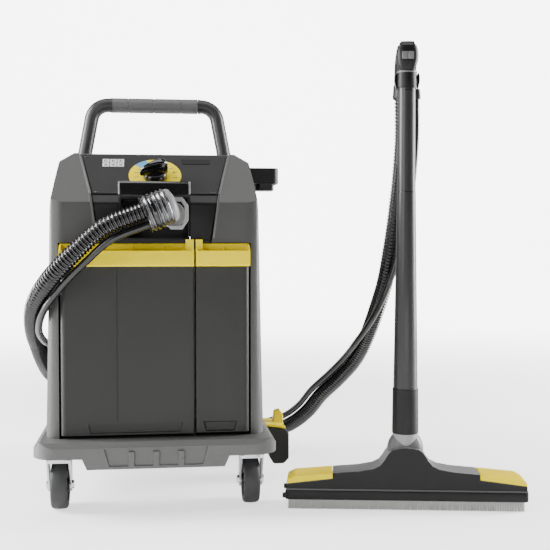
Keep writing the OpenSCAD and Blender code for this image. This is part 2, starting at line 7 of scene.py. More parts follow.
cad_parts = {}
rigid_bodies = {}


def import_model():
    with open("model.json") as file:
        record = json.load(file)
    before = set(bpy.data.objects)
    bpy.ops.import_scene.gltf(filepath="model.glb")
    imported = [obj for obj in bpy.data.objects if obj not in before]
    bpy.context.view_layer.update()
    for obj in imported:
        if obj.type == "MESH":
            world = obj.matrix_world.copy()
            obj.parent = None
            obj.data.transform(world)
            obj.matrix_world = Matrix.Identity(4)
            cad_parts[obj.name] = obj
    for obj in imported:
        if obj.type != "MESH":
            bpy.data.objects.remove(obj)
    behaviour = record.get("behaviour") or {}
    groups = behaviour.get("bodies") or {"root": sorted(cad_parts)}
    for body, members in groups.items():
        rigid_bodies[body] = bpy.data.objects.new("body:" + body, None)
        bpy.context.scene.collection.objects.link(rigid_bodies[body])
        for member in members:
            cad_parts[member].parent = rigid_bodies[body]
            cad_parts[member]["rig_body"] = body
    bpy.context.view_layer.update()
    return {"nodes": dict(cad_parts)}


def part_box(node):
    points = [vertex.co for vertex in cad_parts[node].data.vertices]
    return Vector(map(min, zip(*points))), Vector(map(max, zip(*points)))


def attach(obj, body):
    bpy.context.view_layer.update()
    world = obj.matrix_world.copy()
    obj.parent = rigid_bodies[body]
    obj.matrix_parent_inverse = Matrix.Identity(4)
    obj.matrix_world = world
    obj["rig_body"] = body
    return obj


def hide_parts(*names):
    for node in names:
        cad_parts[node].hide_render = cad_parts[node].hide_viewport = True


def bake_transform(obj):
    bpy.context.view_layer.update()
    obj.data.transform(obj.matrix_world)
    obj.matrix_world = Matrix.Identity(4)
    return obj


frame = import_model()
nodes = frame["nodes"]
print("frame loaded:", len(nodes), "nodes")

mm = 0.001
scene = bpy.context.scene


# Places that the other pieces are worked out from: the machine, its sloping panel, and the wand beside it
placeValues = {"slopeY": -205, "slopeZ": 695, "slopeRise": 110, "slopeRun": 130, "middleZ": 450,
               "wandTurn": -10}


def moved(x, y, z):
    return Matrix.Translation((x * mm, y * mm, z * mm))


def turned(axis, degrees):
    return Matrix.Rotation(math.radians(degrees), 4, axis)


def facing(direction, axis="Z"):
    return direction.to_track_quat(axis, "Y").to_matrix().to_4x4()


def standOf(node):
    low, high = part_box(node)
    return Matrix.Translation(((low.x + high.x) / 2, (low.y + high.y) / 2, 0))


slopeAngle = math.degrees(math.atan2(placeValues["slopeRise"], placeValues["slopeRun"]))
machineAt = standOf("chassis")
machineCentre = machineAt @ Vector((0, 0, placeValues["middleZ"] * mm))
slopeAt = machineAt @ moved(0, placeValues["slopeY"], placeValues["slopeZ"]) @ turned("X", slopeAngle)
wandAt = standOf("wand_lower_tube") @ turned("Z", placeValues["wandTurn"])


def linkPiece(name, data):
    piece = bpy.data.objects.new(name, data)
    scene.collection.objects.link(piece)
    return piece


# Camera
cameraLook = {"ahead": 1.93, "height": 0.563, "yaw": 7.1, "pitch": -2.1, "lens": 62.8, "sensor": 36,
              "sight": 60}


def makeCamera(look):
    data = bpy.data.cameras.new("camera")
    data.lens = look["lens"]
    data.sensor_width = look["sensor"]
    data.clip_end = look["sight"]
    camera = linkPiece("camera", data)
    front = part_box("chassis")[0].y - machineAt.translation.y
    stand = machineAt @ Vector((0, front - look["ahead"], look["height"]))
    turn = turned("Z", -look["yaw"]) @ turned("X", 90 + look["pitch"])
    camera.matrix_world = Matrix.Translation(stand) @ turn
    scene.camera = camera


makeCamera(cameraLook)
print("camera made")


# Small tools for meshes
def meshPiece(name, bm, sharp):
    mesh = bpy.data.meshes.new(name)
    bm.to_mesh(mesh)
    bm.free()
    mesh.shade_smooth()
    mesh.set_sharp_from_angle(angle=math.radians(sharp))
    return linkPiece(name, mesh)


def linkMesh(name, bm, matrix=None, sharp=38):
    if matrix is not None:
        bm.transform(matrix)
    bmesh.ops.recalc_face_normals(bm, faces=bm.faces)
    return meshPiece(name, bm, sharp)


def settle(piece):
    graph = bpy.context.evaluated_depsgraph_get()
    mesh = bpy.data.meshes.new_from_object(piece.evaluated_get(graph), depsgraph=graph)
    mesh.name = piece.name
    old = piece.data
    piece.modifiers.clear()
    piece.data = mesh
    bpy.data.meshes.remove(old)
    return piece


def soften(piece, width, segments=3, angle=30):
    bevel = piece.modifiers.new("edges", "BEVEL")
    bevel.width = width
    bevel.segments = segments
    bevel.limit_method = "ANGLE"
    bevel.angle_limit = math.radians(angle)
    bevel.use_clamp_overlap = True
    weighted = piece.modifiers.new("normals", "WEIGHTED_NORMAL")
    weighted.keep_sharp = True
    return settle(piece)


# Node trees: their start with named sockets, and a node with its own values
def startTree(name, kind, inputs, outputs):
    tree = bpy.data.node_groups.new(name, kind)
    for label, socketKind, value in inputs:
        socket = tree.interface.new_socket(name=label, in_out="INPUT", socket_type=socketKind)
        if value is not None:
            socket.default_value = value
    for label, socketKind in outputs:
        tree.interface.new_socket(name=label, in_out="OUTPUT", socket_type=socketKind)
    return tree, tree.nodes.new("NodeGroupInput"), tree.nodes.new("NodeGroupOutput")


def setInputs(node, values):
    for label, value in values.items():
        node.inputs[label].default_value = value
    return node


def addNode(tree, kind, values):
    return setInputs(tree.nodes.new(kind), values)


# Mould grain: the shader group that every finish shares
grainValues = {"grain": 900, "patch": 9, "grainDetail": 3, "patchDetail": 4, "patchRough": 0.6,
               "speckScale": 260, "speckEdge": 0.12, "speckCore": 0.02, "bumpDistance": 0.0004,
               "coatRough": 0.12}


def makeGrainGroup(v):
    number = "NodeSocketFloat"
    tree, start, end = startTree("mouldGrain", "ShaderNodeTree",
                                 [("Grain", number, v["grain"]), ("Patch", number, v["patch"])],
                                 [("Height", number), ("Patches", number), ("Specks", number)])
    coords = tree.nodes.new("ShaderNodeTexCoord")
    grain = addNode(tree, "ShaderNodeTexNoise", {"Detail": v["grainDetail"]})
    patch = addNode(tree, "ShaderNodeTexNoise", {"Detail": v["patchDetail"], "Roughness": v["patchRough"]})
    specks = addNode(tree, "ShaderNodeTexVoronoi", {"Scale": v["speckScale"]})
    speckRange = addNode(tree, "ShaderNodeMapRange", {"From Min": v["speckEdge"], "From Max": v["speckCore"]})
    link = tree.links.new
    for texture in (grain, patch, specks):
        link(coords.outputs["Object"], texture.inputs["Vector"])
    link(start.outputs["Grain"], grain.inputs["Scale"])
    link(start.outputs["Patch"], patch.inputs["Scale"])
    link(specks.outputs["Distance"], speckRange.inputs["Value"])
    link(grain.outputs["Fac"], end.inputs["Height"])
    link(patch.outputs["Fac"], end.inputs["Patches"])
    link(speckRange.outputs["Result"], end.inputs["Specks"])
    return tree


grainGroup = makeGrainGroup(grainValues)


def finishMaterial(name, colour, rough, grain=900, depth=0.2, patch=9, shade=0.12, roughSpan=0.08,
                   metallic=0.0, coat=0.0, specks=0.0, specular=0.5):
    material = bpy.data.materials.new(name)
    material.use_nodes = True
    tree = material.node_tree
    link = tree.links.new
    shader = setInputs(tree.nodes["Principled BSDF"], {
        "Metallic": metallic, "Coat Weight": coat, "Coat Roughness": grainValues["coatRough"],
        "Specular IOR Level": specular})
    group = tree.nodes.new("ShaderNodeGroup")
    group.node_tree = grainGroup
    setInputs(group, {"Grain": grain, "Patch": patch})
    mix = tree.nodes.new("ShaderNodeMix")
    mix.data_type = "RGBA"
    mix.inputs["A"].default_value = [min(1, c * (1 - shade)) for c in colour] + [1]
    mix.inputs["B"].default_value = [min(1, c * (1 + shade)) for c in colour] + [1]
    link(group.outputs["Patches"], mix.inputs["Factor"])
    last = mix.outputs["Result"]
    if specks:
        dots = tree.nodes.new("ShaderNodeMix")
        dots.data_type = "RGBA"
        dots.inputs["B"].default_value = [min(1, c * (1 + specks) + 0.01) for c in colour] + [1]
        link(group.outputs["Specks"], dots.inputs["Factor"])
        link(last, dots.inputs["A"])
        last = dots.outputs["Result"]
    link(last, shader.inputs["Base Color"])
    span = addNode(tree, "ShaderNodeMapRange", {"To Min": max(0.02, rough - roughSpan),
                                                "To Max": min(1, rough + roughSpan)})
    link(group.outputs["Patches"], span.inputs["Value"])
    link(span.outputs["Result"], shader.inputs["Roughness"])
    bump = addNode(tree, "ShaderNodeBump", {"Strength": depth, "Distance": grainValues["bumpDistance"]})
    link(group.outputs["Height"], bump.inputs["Height"])
    link(bump.outputs["Normal"], shader.inputs["Normal"])
    return material


finishes = {
    "casing": dict(colour=(0.052, 0.052, 0.05), rough=0.4, grain=1100, depth=0.35, specks=0.25),
    "door": dict(colour=(0.023, 0.023, 0.022), rough=0.42, grain=1100, depth=0.3, specks=0.2, specular=0.3),
    "console": dict(colour=(0.008, 0.008, 0.008), rough=0.4, grain=1000, depth=0.4, specks=0.2, specular=0.3),
    "panel": dict(colour=(0.012, 0.012, 0.0118), rough=0.5, grain=1400, depth=0.25, specular=0.3),
    "chassis": dict(colour=(0.1, 0.1, 0.098), rough=0.45, grain=1000, depth=0.4, specks=0.2),
    "yellow": dict(colour=(0.98, 0.77, 0.0), rough=0.4, specular=0.1, grain=700, depth=0.08, shade=0.05,
                   coat=0.05),
    "dialYellow": dict(colour=(0.98, 0.77, 0.0), rough=0.45, specular=0.1, grain=500, depth=0.03, shade=0.03),
    "dialBlue": dict(colour=(0.08, 0.35, 0.62), rough=0.35, grain=500, depth=0.03, shade=0.05),
    "inkDark": dict(colour=(0.035, 0.033, 0.03), rough=0.5, grain=900, depth=0.05),
    "inkWhite": dict(colour=(0.8, 0.8, 0.8), rough=0.45, grain=900, depth=0.05, shade=0.04),
    "glossBlack": dict(colour=(0.005, 0.005, 0.0052), rough=0.16, grain=300, depth=0.05, coat=0.5),
    "hoseBlack": dict(colour=(0.0035, 0.0035, 0.0037), rough=0.2, grain=500, depth=0.06, coat=0.35),
    "steamBlack": dict(colour=(0.005, 0.005, 0.005), rough=0.26, grain=900, depth=0.1, coat=0.2),
    "cuffGloss": dict(colour=(0.13, 0.13, 0.135), rough=0.24, grain=300, depth=0.04, metallic=0.85, coat=0.3),
    "headBlack": dict(colour=(0.007, 0.007, 0.007), rough=0.5, grain=700, depth=0.7, specks=0.8,
                      specular=0.3),
    # headTop: paler grey; on the floor head's upward faces and on the cuff boot it is a painted highlight
    "headTop": dict(colour=(0.12, 0.12, 0.123), rough=0.35, grain=800, depth=0.25),
    "paneGrey": dict(colour=(0.17, 0.17, 0.17), rough=0.4, grain=700, depth=0.1),
    "mattBlack": dict(colour=(0.007, 0.007, 0.007), rough=0.42, grain=900, depth=0.4, specks=0.5,
                      specular=0.3),
    "tube": dict(colour=(0.013, 0.013, 0.0133), rough=0.42, grain=1200, depth=0.15, coat=0.15),
    "handleGrey": dict(colour=(0.025, 0.025, 0.0255), rough=0.36, grain=1100, depth=0.3),
    "gripGrey": dict(colour=(0.09, 0.09, 0.09), rough=0.45, grain=800, depth=0.4),
    "lightGrey": dict(colour=(0.3, 0.3, 0.3), rough=0.35, grain=900, depth=0.2),
    "zinc": dict(colour=(0.62, 0.63, 0.65), rough=0.24, grain=200, depth=0.06, patch=60, metallic=1.0),
    "brushedSteel": dict(colour=(0.55, 0.56, 0.57), rough=0.32, grain=400, depth=0.1, patch=40, metallic=1.0),
    "brass": dict(colour=(0.65, 0.45, 0.18), rough=0.35, grain=300, depth=0.1, patch=40, metallic=1.0),
    "copper": dict(colour=(0.6, 0.28, 0.16), rough=0.35, grain=300, depth=0.1, patch=40, metallic=1.0),
    "tyre": dict(colour=(0.05, 0.05, 0.051), rough=0.55, grain=700, depth=0.3, specular=0.3),
    "hub": dict(colour=(0.02, 0.02, 0.02), rough=0.4, grain=800, depth=0.2, specular=0.3),
    "bristle": dict(colour=(0.62, 0.62, 0.6), rough=0.5, grain=600, depth=0.1, shade=0.2),
    "tankPlastic": dict(colour=(0.62, 0.66, 0.66), rough=0.3, grain=700, depth=0.1),
    "filterPaper": dict(colour=(0.7, 0.68, 0.58), rough=0.8, grain=500, depth=0.5),
    "board": dict(colour=(0.02, 0.16, 0.06), rough=0.35, grain=500, depth=0.1),
    "feedHose": dict(colour=(0.4, 0.52, 0.58), rough=0.25, grain=500, depth=0.05),
    "glassDark": dict(colour=(0.004, 0.004, 0.0045), rough=0.3, grain=300, depth=0.01, specular=0.15),
}
paint = {name: finishMaterial(name, **values) for name, values in finishes.items()}
print("materials made:", len(paint))


# Geometry Nodes: a smooth or ribbed tube along a line, and things set on points
def mathNode(tree, operation, first, second=None):
    node = tree.nodes.new("ShaderNodeMath")
    node.operation = operation
    for socket, value in zip(node.inputs, (first, second)):
        if value is None:
            continue
        if hasattr(value, "is_output"):
            tree.links.new(value, socket)
        else:
            socket.default_value = value
    return node.outputs[0]


def endTree(tree, made, start, end):
    real = tree.nodes.new("GeometryNodeRealizeInstances")
    setMaterial = tree.nodes.new("GeometryNodeSetMaterial")
    tree.links.new(made, real.inputs["Geometry"])
    tree.links.new(real.outputs["Geometry"], setMaterial.inputs["Geometry"])
    tree.links.new(start.outputs["Material"], setMaterial.inputs["Material"])
    tree.links.new(setMaterial.outputs["Geometry"], end.inputs["Geometry"])
    return tree


def makeTubeTree():
    shape = "NodeSocketGeometry"
    tree, start, end = startTree("ribbedTube", "GeometryNodeTree", [
        ("Geometry", shape, None), ("Radius", "NodeSocketFloat", 0.02), ("Rib depth", "NodeSocketFloat", 0.0),
        ("Rib pitch", "NodeSocketFloat", 0.006), ("Step", "NodeSocketFloat", 0.002),
        ("Sides", "NodeSocketInt", 18), ("Material", "NodeSocketMaterial", None)], [("Geometry", shape)])
    new, link = tree.nodes.new, tree.links.new
    curve = new("GeometryNodeMeshToCurve")
    resample = new("GeometryNodeResampleCurve")
    resample.mode = "LENGTH"
    spline = new("GeometryNodeSplineParameter")
    circle = addNode(tree, "GeometryNodeCurvePrimitiveCircle", {"Radius": 1})
    sweep = addNode(tree, "GeometryNodeCurveToMesh", {"Fill Caps": True})
    smooth = new("GeometryNodeSetShadeSmooth")
    turns = mathNode(tree, "DIVIDE", spline.outputs["Length"], start.outputs["Rib pitch"])
    wave = mathNode(tree, "COSINE", mathNode(tree, "MULTIPLY", turns, math.tau))
    dip = mathNode(tree, "MULTIPLY", mathNode(tree, "SUBTRACT", wave, 1.0), 0.5)
    amount = mathNode(tree, "MULTIPLY", dip, start.outputs["Rib depth"])
    total = mathNode(tree, "ADD", amount, start.outputs["Radius"])
    link(start.outputs["Geometry"], curve.inputs["Mesh"])
    link(curve.outputs["Curve"], resample.inputs["Curve"])
    link(start.outputs["Step"], resample.inputs["Length"])
    link(resample.outputs["Curve"], sweep.inputs["Curve"])
    link(total, sweep.inputs["Scale"])
    link(start.outputs["Sides"], circle.inputs["Resolution"])
    link(circle.outputs["Curve"], sweep.inputs["Profile Curve"])
    link(sweep.outputs["Mesh"], smooth.inputs["Geometry"])
    return endTree(tree, smooth.outputs["Geometry"], start, end)


def makeScatterTree():
    shape = "NodeSocketGeometry"
    tree, start, end = startTree("setOnPoints", "GeometryNodeTree", [
        ("Geometry", shape, None), ("Item", "NodeSocketObject", None), ("Lean", "NodeSocketFloat", 0.0),
        ("Seed", "NodeSocketInt", 1), ("Material", "NodeSocketMaterial", None)], [("Geometry", shape)])
    new, link = tree.nodes.new, tree.links.new
    info = new("GeometryNodeObjectInfo")
    info.transform_space = "ORIGINAL"
    facings = addNode(tree, "GeometryNodeInputNamedAttribute", {"Name": "facing"})
    facings.data_type = "FLOAT_VECTOR"
    align = new("FunctionNodeAlignRotationToVector")
    align.axis = "Z"
    lean = new("FunctionNodeRandomValue")
    lean.data_type = "FLOAT_VECTOR"
    turn = new("FunctionNodeRotateRotation")
    turn.rotation_space = "LOCAL"
    put = new("GeometryNodeInstanceOnPoints")
    combineLow = new("ShaderNodeCombineXYZ")
    combineHigh = new("ShaderNodeCombineXYZ")
    minus = mathNode(tree, "MULTIPLY", start.outputs["Lean"], -1.0)
    for axis in ("X", "Y", "Z"):
        link(minus, combineLow.inputs[axis])
        link(start.outputs["Lean"], combineHigh.inputs[axis])
    link(combineLow.outputs["Vector"], lean.inputs["Min"])
    link(combineHigh.outputs["Vector"], lean.inputs["Max"])
    link(start.outputs["Seed"], lean.inputs["Seed"])
    link(facings.outputs["Attribute"], align.inputs["Vector"])
    link(align.outputs["Rotation"], turn.inputs["Rotation"])
    link(lean.outputs["Value"], turn.inputs["Rotate By"])
    link(start.outputs["Item"], info.inputs["Object"])
    link(start.outputs["Geometry"], put.inputs["Points"])
    link(info.outputs["Geometry"], put.inputs["Instance"])
    link(turn.outputs["Rotation"], put.inputs["Rotation"])
    return endTree(tree, put.outputs["Instances"], start, end)


tubeTree = makeTubeTree()
scatterTree = makeScatterTree()


def runTree(piece, tree, values):
    modifier = piece.modifiers.new(tree.name, "NODES")
    modifier.node_group = tree
    for item in tree.interface.items_tree:
        if item.item_type == "SOCKET" and item.in_out == "INPUT" and item.name in values:
            modifier[item.identifier] = values[item.name]
    return settle(piece)


def lineTube(name, points, material, radius, sides=18, step=0.002, ribDepth=0.0, ribPitch=0.006):
    mesh = bpy.data.meshes.new(name)
    mesh.from_pydata([tuple(p) for p in points], [(i, i + 1) for i in range(len(points) - 1)], [])
    return runTree(linkPiece(name, mesh), tubeTree, {
        "Radius": radius, "Rib depth": ribDepth, "Rib pitch": ribPitch, "Step": step, "Sides": sides,
        "Material": material})


def scatter(name, points, facings, item, material, lean=0.0, seed=1):
    mesh = bpy.data.meshes.new(name)
    mesh.from_pydata([tuple(p) for p in points], [], [])
    attribute = mesh.attributes.new("facing", "FLOAT_VECTOR", "POINT")
    for i, direction in enumerate(facings):
        attribute.data[i].vector = direction
    piece = runTree(linkPiece(name, mesh), scatterTree,
                    {"Item": item, "Lean": lean, "Seed": seed, "Material": material})
    if "facing" in piece.data.attributes:
        piece.data.attributes.remove(piece.data.attributes["facing"])
    return piece


def dropItem(item):
    mesh = item.data
    bpy.data.objects.remove(item)
    bpy.data.meshes.remove(mesh)


# The twin hose: its route repeats the design's, from the plug to the wand
hoseSizes = {"hoseRadius": 0.019, "steamRadius": 0.0075, "apart": 0.0016, "ribPitch": 0.0078,
             "ribDepth": 0.0033, "hoseStep": 0.00112, "hoseSides": 18, "steamStep": 0.006, "steamSides": 16}
hoseRoute = [
    (-20, -350, 620), (-98, -357, 588), (-155, -345, 540), (-205, -314, 490), (-241, -260, 440),
    (-257, -188, 396), (-264, -105, 356), (-266, -20, 320), (-268, 65, 285), (-267, 150, 250),
    (-259, 235, 217), (-232, 320, 188), (-182, 366, 130), (-115, 392, 70), (-40, 407, 32),
    (40, 405, 21), (125, 385, 21), (200, 355, 26), (275, 320, 40), (345, 280, 65),
    (390, 225, 110), (420, 170, 165), (455, 115, 215), (485, 55, 270), (500, -5, 330),
    (510, -60, 395), (520, -105, 465), (525, -140, 540), (530, -165, 620), (535, -180, 700),
    (538, -191, 785), (538, -191, 869.9)]
steamSides = [
    (0.37, 0, -0.93), (0.4, 0.1, -0.9), (0.6, 0.2, -0.8), (0.6, 0.3, -0.8), (0.3, 0.1, -0.9),
    (0.35, 0.1, -0.9), (0.7, 0.1, -0.6), (0.8, 0.1, 0.1), (0.5, 0.2, 0.6), (0.5, 0.3, 0.7),
    (0.2, 0.1, 1), (0, 0.3, 1), (0, 0.4, 1), (0, 0.3, 1), (0, 0, 1),
    (0, 0, 1), (0, 0, 1), (0, 0, 1), (0, 0, 1), (-0.3, 0, 1),
    (-0.6, -0.1, 0.8), (-0.7, -0.2, 0.7), (-0.7, -0.3, 0.6), (-0.7, -0.4, 0.4), (-0.6, -0.7, 0.2),
    (-0.3, -0.9, 0), (0, -1, 0), (0.4, -0.9, 0), (0.7, -0.6, 0), (0.9, -0.3, 0),
    (1, -0.2, 0), (1, -0.17, 0)]


def smoothPath(points, pieces=8):
    out = []
    for i in range(len(points) - 1):
        before = points[i - 1] if i else points[0] * 2 - points[1]
        after = points[i + 2] if i + 2 < len(points) else points[-1] * 2 - points[-2]
        a, b = points[i], points[i + 1]
        for k in range(pieces):
            t = k / pieces
            out.append(0.5 * (2 * a + (b - before) * t + (2 * before - 5 * a + 4 * b - after) * t * t
                              + (3 * a - before - 3 * b + after) * t ** 3))
    return out + [points[-1].copy()]


def pathLength(points):
    return sum((b - a).length for a, b in zip(points, points[1:]))


def tangentAt(points, i):
    return (points[min(i + 1, len(points) - 1)] - points[max(i - 1, 0)]).normalized()


def makeHose(sizes):
    route = [machineAt @ (Vector(p) * mm) for p in hoseRoute]
    reach = sizes["hoseRadius"] + sizes["steamRadius"] + sizes["apart"]
    beside = []
    for i, side in enumerate(steamSides):
        along = tangentAt(route, i)
        out = Vector(side)
        out = (out - out.dot(along) * along).normalized()
        beside.append(route[i] + reach * out)
    lines = {"suctionHose": (route, "hose", sizes["ribDepth"], "hoseBlack", "suction_hose"),
             "steamLine": (beside, "steam", 0.0, "steamBlack", "steam_line")}
    made = {}
    for name, (points, kind, depth, finish, node) in lines.items():
        path = smoothPath(points)
        piece = lineTube(name, path, paint[finish], sizes[kind + "Radius"], sizes[kind + "Sides"],
                         sizes[kind + "Step"], depth, sizes["ribPitch"])
        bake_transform(piece)
        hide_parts(node)
        made[name] = (piece, path)
        print(name, "length", round(pathLength(path), 3))
    return made


hoses = makeHose(hoseSizes)
print("hoses made")


# Copies of the design's nodes with their edges rounded
bodyOf = {name: piece["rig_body"] for name, piece in nodes.items()}


def addTo(piece, node, finish, stands=()):
    piece.data.materials.clear()
    piece.data.materials.append(paint[finish])
    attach(piece, bodyOf[node])
    if stands:
        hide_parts(*stands)
    return piece


def standFor(piece, node, finish):
    return addTo(piece, node, finish, (node,))


# With a centre, edges that face it, inside a hollow, get only the inner share of the bevel
def refined(node, finish, width=0.0015, segments=3, centre=None, inner=0.2, limit=28, merge=2e-6, flat=0.7,
            sharp=40):
    bm = bmesh.new()
    bm.from_mesh(nodes[node].data)
    bmesh.ops.remove_doubles(bm, verts=bm.verts, dist=merge)
    bmesh.ops.dissolve_limit(bm, angle_limit=math.radians(flat), verts=bm.verts, edges=bm.edges)
    layer = bm.edges.layers.float.new("bevel_weight_edge")
    for edge in bm.edges:
        if len(edge.link_faces) == 2 and edge.calc_face_angle(0) > math.radians(limit):
            weight = 1.0
            if centre is not None:
                middle = (edge.verts[0].co + edge.verts[1].co) / 2
                if min(f.normal.dot(middle - centre) for f in edge.link_faces) < 0:
                    weight = inner
            edge[layer] = weight
    piece = meshPiece(node + "Look", bm, sharp)
    bevel = piece.modifiers.new("edges", "BEVEL")
    bevel.width = width
    bevel.segments = segments
    bevel.limit_method = "WEIGHT"
    bevel.use_clamp_overlap = centre is None
    bevel.harden_normals = True
    return standFor(settle(piece), node, finish)


# Each copy's finish, bevel width and bevel steps, and the centre of an open shell
shellLooks = {
    "side_shell_left": ("casing", 0.0035, 4), "side_shell_right": ("casing", 0.0035, 4),
    "top_cover": ("casing", 0.005, 4, machineCentre), "rear_cover": ("console", 0.003, 3, machineCentre),
    "front_console": ("console", 0.0045, 4, machineCentre), "chassis": ("chassis", 0.004, 4),
    "tank_partition": ("chassis", 0.0006, 1), "control_panel": ("panel", 0.0008, 2),
    "selector_switch": ("lightGrey", 0.0012, 2), "hose_socket": ("mattBlack", 0.0014, 3),
    "socket_flap": ("glossBlack", 0.0016, 3), "plug_latch": ("lightGrey", 0.0016, 3),
    "handle_grip": ("gripGrey", 0.0009, 2), "accessory_hook": ("console", 0.0035, 4),
    "park_bracket": ("console", 0.003, 3), "park_latch": ("yellow", 0.002, 3),
    "waste_tank": ("tankPlastic", 0.0012, 2), "water_tank": ("tankPlastic", 0.0012, 2),
    "waste_tank_lid": ("tankPlastic", 0.001, 2), "water_tank_lid": ("tankPlastic", 0.001, 2),
    "waste_tank_front": ("door", 0.0055, 5), "water_tank_front": ("door", 0.0055, 5),
    "waste_grip": ("yellow", 0.0018, 3), "water_grip": ("yellow", 0.0018, 3),
    "float_ball": ("yellow", 0.001, 2), "boiler": ("brushedSteel", 0.002, 2),
    "boiler_heater": ("copper", 0.0015, 2), "steam_valve": ("brass", 0.0012, 2),
    "water_pump": ("glossBlack", 0.002, 2), "vacuum_motor": ("hub", 0.0012, 2),
    "vacuum_fan": ("zinc", 0.0003, 1), "motor_filter": ("filterPaper", 0.002, 2),
    "circuit_board": ("board", 0.0006, 1), "cable_gland": ("glossBlack", 0.001, 2),
    "wand_upper_tube": ("tube", 0.0008, 2), "wand_lower_tube": ("tube", 0.0008, 2),
    "wand_cuff": ("mattBlack", 0.0015, 3), "steam_trigger": ("yellow", 0.0014, 3),
    "nozzle_neck": ("lightGrey", 0.0012, 2), "feed_hose": ("feedHose", 0.0004, 1),
}
for corner in ("front_left", "front_right", "rear_left", "rear_right"):
    shellLooks["caster_fork_" + corner] = ("zinc", 0.0009, 2)
for node, look in shellLooks.items():
    refined(node, *look)
print("rounded copies:", len(shellLooks))


# Outlines pushed through, turned and lofted forms
def prism(name, outline, low, high, matrix, width=0.0, segments=2):
    bm = bmesh.new()
    bottom = [bm.verts.new((x, y, low)) for x, y in outline]
    top = [bm.verts.new((x, y, high)) for x, y in outline]
    bm.faces.new(bottom)
    bm.faces.new(top)
    for i in range(len(outline)):
        j = (i + 1) % len(outline)
        bm.faces.new((bottom[i], bottom[j], top[j], top[i]))
    piece = linkMesh(name, bm, matrix @ Matrix.Scale(mm, 4))
    return soften(piece, width, segments) if width else piece


def lathe(name, profile, matrix, steps=64, closed=False):
    bm = bmesh.new()
    rings = []
    turns = [math.tau * k / steps for k in range(steps)]
    for r, z in profile:
        rings.append([bm.verts.new((r * math.cos(a), r * math.sin(a), z)) for a in turns])
    pairs = list(zip(rings, rings[1:])) + ([(rings[-1], rings[0])] if closed else [])
    for a, b in pairs:
        for k in range(steps):
            j = (k + 1) % steps
            bm.faces.new((a[k], a[j], b[j], b[k]))
    if not closed:
        bm.faces.new(rings[0])
        bm.faces.new(rings[-1])
    return linkMesh(name, bm, matrix @ Matrix.Scale(mm, 4))


def loft(name, rings, matrix, width=0.0, segments=3):
    bm = bmesh.new()
    rows = [[bm.verts.new(p) for p in ring] for ring in rings]
    for a, b in zip(rows, rows[1:]):
        for k in range(len(a)):
            j = (k + 1) % len(a)
            bm.faces.new((a[k], a[j], b[j], b[k]))
    bm.faces.new(rows[0])
    bm.faces.new(rows[-1])
    piece = linkMesh(name, bm, matrix @ Matrix.Scale(mm, 4))
    return soften(piece, width, segments, 25) if width else piece


def joined(name, pieces):
    bm = bmesh.new()
    for piece in pieces:
        bm.from_mesh(piece.data)
    for piece in pieces:
        dropItem(piece)
    return linkMesh(name, bm)


def rounded(points, radii, steps=7):
    out = [Vector(points[0])]
    for before, at, after, radius in zip(points, points[1:], points[2:], radii):
        at = Vector(at)
        u, w = (Vector(before) - at).normalized(), (Vector(after) - at).normalized()
        half = math.acos(max(-1, min(1, u.dot(w)))) / 2
        centre = at + (u + w).normalized() * radius / math.sin(half)
        s, e = at + u * radius / math.tan(half) - centre, at + w * radius / math.tan(half) - centre
        turn = math.pi - 2 * half
        for i in range(steps + 1):
            t = i / steps
            out.append(centre + (math.sin(turn * (1 - t)) * s + math.sin(turn * t) * e) / math.sin(turn))
    return out + [Vector(points[-1])]


def blockMesh(name, low, high, matrix, width=0.0):
    outline = [(low[0], low[1]), (high[0], low[1]), (high[0], high[1]), (low[0], high[1])]
    return prism(name, outline, low[2], high[2], matrix, width)


def roundedOutline(wide, tall, corner, x=0.0, y=0.0, steps=5):
    out = []
    for sx, sy, first in ((1, 1, 0), (-1, 1, 90), (-1, -1, 180), (1, -1, 270)):
        for i in range(steps + 1):
            a = math.radians(first + 90 * i / steps)
            out.append((x + sx * (wide / 2 - corner) + corner * math.cos(a),
                        y + sy * (tall / 2 - corner) + corner * math.sin(a)))
    return out


def mirrored(half):
    return half + [(r, -z) for r, z in reversed(half)]


# Push handle: a bent tube on two brackets a side, with a ring at each end of its grip
handleValues = {"legX": 188, "legY": 292, "foot": 585, "bendZ": 745, "shoulderX": 156, "barZ": 912,
                "barEnd": 112, "bends": (120, 43), "radius": 18, "bracketZ": (610, 690), "bracketWide": 16,
                "bracketTall": 14, "bracketRear": 320, "ringX": 113,
                "ring": [(14, 0), (19.4, 0.5), (19.4, 4), (14, 4.5)]}


def makePushHandle(v):
    pieces = []
    for s in (-1, 1):
        legX, legY = s * v["legX"], v["legY"]
        corners = [(legX, legY, v["foot"]), (legX, legY, v["bendZ"]), (s * v["shoulderX"], legY, v["barZ"]),
                   (s * v["barEnd"], legY, v["barZ"])]
        leg = [machineAt @ (p * mm) for p in rounded(corners, v["bends"], 9)]
        pieces.append(lineTube("leg", leg, paint["handleGrey"], v["radius"] * mm, 32, 0.004))
        for z in v["bracketZ"]:
            low = (legX - v["bracketWide"], v["bracketRear"], z - v["bracketTall"])
            high = (legX + v["bracketWide"], legY, z + v["bracketTall"])
            pieces.append(blockMesh("bracket", low, high, machineAt, 0.002))
        ringAt = machineAt @ moved(s * v["ringX"], legY, v["barZ"]) @ turned("Y", 90)
        pieces.append(lathe("legRing", v["ring"], ringAt, 40))
    standFor(joined("pushHandle", pieces), "push_handle", "handleGrey")


makePushHandle(handleValues)


# Casters: tyre with a hub of its own
wheelValues = {"trail": 21, "across": 200, "along": 235, "radius": 50, "half": 17}


